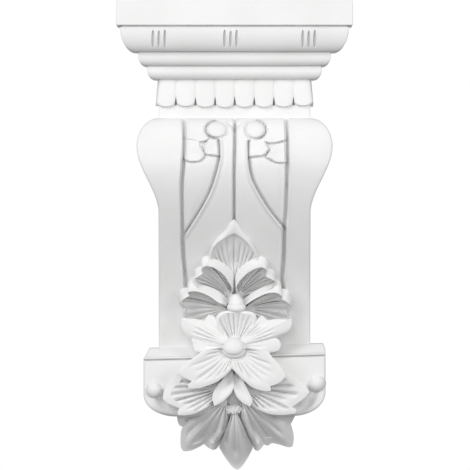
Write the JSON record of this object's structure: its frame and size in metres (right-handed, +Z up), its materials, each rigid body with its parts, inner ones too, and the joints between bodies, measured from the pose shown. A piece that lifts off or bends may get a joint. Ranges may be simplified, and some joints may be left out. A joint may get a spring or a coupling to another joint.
{
  "type": "wall corbel",
  "caption": "Moulded wall corbel: three-sided cornice with tongues, scrolled body with a carved panel, and a flower with leaves over a flat bar.",
  "frame": {"origin": "middle of the flat back face: on the wall plane, at the corbel's centre line and at half its height", "axes": "+Y is the outward normal of the back face, so the front looks towards -Y; +Z is up, out of the shelf face; +X is to the right seen from the front"},
  "size_m": [0.1506, 0.1, 0.3],
  "materials": {
    "white_casting": "matte white factory primer on a moulded rigid foam casting"
  },
  "bodies": {
    "root": {"corbel": "white_casting"}
  },
  "joints": []
}
